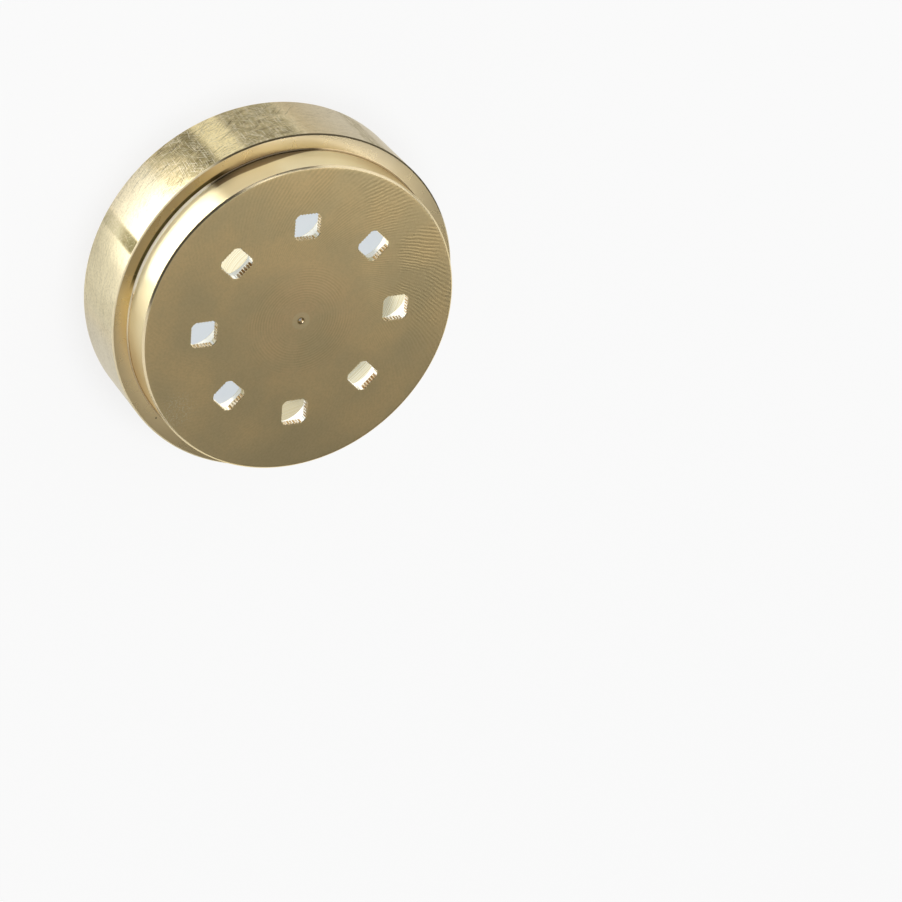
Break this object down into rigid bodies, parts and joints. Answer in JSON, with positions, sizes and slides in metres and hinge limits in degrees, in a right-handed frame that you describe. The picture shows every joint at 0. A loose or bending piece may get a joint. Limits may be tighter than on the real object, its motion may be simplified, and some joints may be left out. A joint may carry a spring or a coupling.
{
  "type": "pasta extrusion die",
  "caption": "Turned brass die with a stepped rim, an open dough chamber in the back and a ring of small square fluted orifices in its flat face, for extruding square spaghetti.",
  "frame": {"origin": "centre of the back rim that the die rests on", "axes": "+Z along the axis of the die, towards the extrusion face; an orifice lies on +X"},
  "size_m": [0.057, 0.057, 0.0185],
  "materials": {
    "brass": "turned and lapped, fine circular tool marks, lightly tarnished"
  },
  "bodies": {
    "root": {"pasta_die": "brass"}
  },
  "joints": []
}
